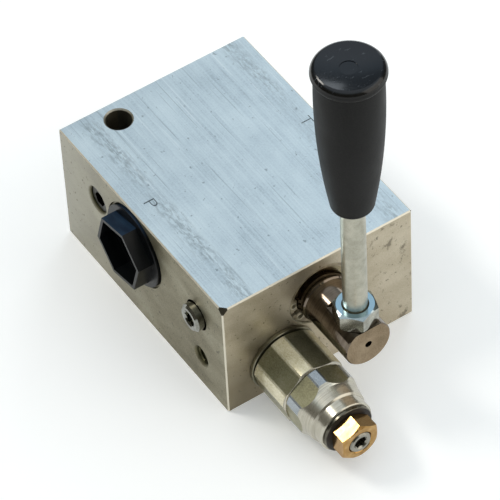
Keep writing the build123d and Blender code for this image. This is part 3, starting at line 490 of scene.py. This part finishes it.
block_finish = milled_aluminium()
plug_finish = plug_plastic()
mark_finish = engraved_mark()
wear(["valve_block"], block_finish)
wear(["rotary_spool"], ground_spool())
wear(["spool_circlip"], phosphated_spring())
wear(["spool_gland"], turned_steel("turned_gland_steel", "6A5F48", "9A8E70", roughness=0.26, metallic=0.85))
wear(["spool_thrust_washer", "relief_seat", "relief_poppet", "relief_spring_guide"],
     turned_steel("hardened_steel", "6F6C66", "8C8982", roughness=0.25))
wear(["relief_spring"], turned_steel("spring_wire", "5A5852", "7A7870", roughness=0.30))
wear(["relief_adjuster_screw"],
     turned_steel("plated_screw_steel", "77756C", "A8A59A", roughness=0.24, spacing=0.5))
wear(["drain_port_plug"],
     turned_steel("blackened_plug_steel", "1C1B18", "35332C", roughness=0.30, spacing=0.5))
wear(["lever_rod"], zinc_plating("zinc_plated_rod", "9C9A8C", "BAB7A8", roughness=0.34))
# The lock nut's upward faces carry a painted blue sky reflection
wear(["lever_lock_nut"], zinc_plating("zinc_plated_nut", "76756B", "B8B7AC", roughness=0.12, sky_sheen="9DBBCB"))
wear(["spool_stop_screw"], zinc_plating("zinc_plated_screw", "6F6E66", "A2A39C", roughness=0.13))
wear(["relief_washer"], zinc_plating("zinc_plated_washer", "6C6959", "8D8975", roughness=0.32))
# The body's corner strips are painted near white and little metallic, as a painted highlight
wear(["relief_body"],
     plated_hexagon("plated_body_hexagon", corner_radius=12.25 * mm, neck_out=19.0 * mm,
                    corner_dark="BDB28C", corner_light="FAF3D8", corner_metal=0.40))
wear(["relief_bonnet"],
     plated_hexagon("plated_bonnet_hexagon", corner_radius=11.75 * mm, neck_out=27.2 * mm,
                    corner_dark="8D949A", corner_light="B4BABF", corner_metal=0.85))
wear(["relief_end_seal"], bonded_washer())
wear(["relief_lock_nut"], machined_brass())
wear(["lever_grip"], grip_plastic())
wear(["pressure_port_plug", "tank_port_plug"], plug_finish)
wear(["gland_outer_seal", "relief_nose_seal", "relief_bonnet_seal", "motor_port_a_seal", "motor_port_b_seal",
      "pressure_plug_seal", "tank_plug_seal"], seal_rubber("nitrile_rubber", "0E0E0E", "1E1D1C"))
wear(["spool_shaft_seal"], seal_rubber("ptfe_shaft_seal", "6E3A22", "8A4A2C"))


def thread_ridge(turns, wall, half_height, half_width, pitch, material):
    """Wind a thread ridge up the Z axis; half of its four-sided section stands out of the wall."""
    bpy.ops.object.select_all(action="DESELECT")
    bpy.ops.mesh.primitive_circle_add(vertices=4, radius=1.0, location=(wall, 0, 0),
                                      rotation=(radians(90), 0, 0))
    ridge = bpy.context.object
    ridge.scale = (half_height, half_width, 1.0)
    bpy.ops.object.transform_apply(location=True, rotation=True, scale=True)
    screw = ridge.modifiers.new("screw", "SCREW")
    screw.axis, screw.screw_offset, screw.iterations = "Z", pitch, turns
    screw.steps = screw.render_steps = 48
    bpy.ops.object.modifier_apply(modifier=screw.name)
    bpy.ops.object.mode_set(mode="EDIT")
    bpy.ops.mesh.select_all(action="SELECT")
    bpy.ops.mesh.fill_holes(sides=4)
    bpy.ops.mesh.normals_make_consistent(inside=False)
    bpy.ops.object.mode_set(mode="OBJECT")
    bpy.ops.object.shade_smooth_by_angle(angle=radians(30))
    ridge.data.materials.append(material)
    return ridge


def screw_in(ridge, name, side, middle, start, body):
    """Copy a ridge into a hole of the left (-1) or right (1) face, with its own mesh; start is its depth."""
    bpy.ops.object.select_all(action="DESELECT")
    ridge.select_set(True)
    bpy.context.view_layer.objects.active = ridge
    bpy.ops.object.duplicate()
    piece = bpy.context.object
    piece.name = name
    piece.rotation_euler = (0, radians(-90 * side), 0)
    piece.location = (side * (block_x - start), middle[0], middle[1])
    bpy.ops.object.transform_apply(location=True, rotation=True, scale=True)
    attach(piece, body)


# Threads of the plugs, of the hose ports and of the spare hole; a port's ridges lie between those of its plug
plug_ridge = thread_ridge(turns=5, wall=plug_wall, half_height=0.45 * mm, half_width=0.45 * mm,
                          pitch=port_pitch, material=plug_finish)
port_ridge = thread_ridge(turns=6, wall=port_wall, half_height=0.40 * mm, half_width=0.40 * mm,
                          pitch=port_pitch, material=block_finish)
spare_ridge = thread_ridge(turns=5, wall=spare_wall, half_height=0.35 * mm, half_width=0.50 * mm,
                           pitch=spare_pitch, material=block_finish)
for port, side in (("pressure", -1), ("tank", 1)):
    screw_in(plug_ridge, port + "_plug_thread", side, (port_y, port_z), start=2.1 * mm,
             body=port + "_plug")
    screw_in(port_ridge, port + "_port_thread", side, (port_y, port_z), start=3.0 * mm,
             body="block")
screw_in(spare_ridge, "spare_hole_thread", -1, (spare_y, spare_z), start=1.4 * mm, body="block")
for ridge in (plug_ridge, port_ridge, spare_ridge):
    bpy.data.objects.remove(ridge)

# Port marks P and T: capitals with slightly thinned strokes, a hair proud of the top, that read from the
# left; their dark finish is the painted shade of the engraving
for letter, x, y, width in (("P", -29.58 * mm, 2.95 * mm, 3.3 * mm), ("T", 31.35 * mm, 3.80 * mm, 3.4 * mm)):
    bpy.ops.object.select_all(action="DESELECT")
    bpy.ops.object.text_add()
    mark = bpy.context.object
    mark.name = "port_mark_" + letter
    mark.data.body = letter
    mark.data.offset = -0.02
    mark.data.extrude = 0.002
    bpy.ops.object.convert(target="MESH")
    bpy.ops.object.origin_set(type="ORIGIN_GEOMETRY", center="BOUNDS")
    mark.scale = (width / mark.dimensions.x, mark_height / mark.dimensions.y, 6 * mm)
    mark.rotation_euler = (0, 0, radians(-90))
    mark.location = (x, y, block_top + 0.01 * mm)
    bpy.ops.object.transform_apply(location=True, rotation=True, scale=True)
    mark.data.materials.append(mark_finish)
    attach(mark, "block")

# Pale floor: white to the camera and in reflections, but still keeping the soft shadow
bpy.ops.mesh.primitive_plane_add(size=6.0, location=(0, 0, -0.2 * mm))
floor = bpy.context.object
floor.name = "floor"
floor_finish, floor_tree, floor_shader = finish(
    "pale_floor", Base_Color=srgb("F4F5F5"), Roughness=0.9, Emission_Color=srgb("FFFFFF"))
seen = add(floor_tree, "LightPath").node.outputs
shown = seen["Is Camera Ray"]
for ray in ("Is Glossy Ray", "Is Transmission Ray"):
    shown = add(floor_tree, "Math", shown, seen[ray], operation="MAXIMUM")
feed(floor_shader, {"Emission Strength": add(floor_tree, "Math", shown, floor_glow, operation="MULTIPLY")})
floor.data.materials.append(floor_finish)

# Studio: a pale blue-white ceiling over dim walls
world = bpy.data.worlds.new("studio")
world.use_nodes = True
scene.world = world
sky_tree = world.node_tree
up = add(sky_tree, "SeparateXYZ", add(sky_tree, "TexCoord", output="Generated"), output="Z")
sky_colour = add(sky_tree, "ValToRGB", up, stops=((0.0, "625E53"), (0.40, "646259"), (0.60, "83857F"),
                                                  (0.68, "BECBD2"), (0.78, "EAF4FA"), (1.0, "F6FBFF")))
feed(sky_tree.nodes["Background"], {"Color": sky_colour, "Strength": 1.0})


def softbox(name, place, width, height, energy, colour, target=None):
    """A large soft lamp that looks at the valve, or straight down if no target is given."""
    data = bpy.data.lights.new(name, "AREA")
    lamp = bpy.data.objects.new(name, data)
    scene.collection.objects.link(lamp)
    data.shape = "RECTANGLE"
    data.size, data.size_y, data.energy, data.color = width, height, energy, colour
    lamp.location = place
    if target is not None:
        lamp.rotation_euler = (target - lamp.location).to_track_quat("-Z", "Y").to_euler()


valve_middle = Vector((0, 0, 40 * mm))
softbox("strip_softbox", place=(-0.56, 0.66, 1.0), width=0.26, height=0.50, energy=6.0,
        colour=(1.0, 0.95, 0.87))
softbox("window_softbox", place=(0.88, 0.68, 0.57), width=0.50, height=0.60, energy=2.5,
        colour=(0.85, 0.93, 1.0), target=valve_middle)
softbox("front_softbox", place=(0.80, -1.00, 0.66), width=1.5, height=1.2, energy=8.0,
        colour=(1.0, 0.96, 0.90), target=valve_middle)
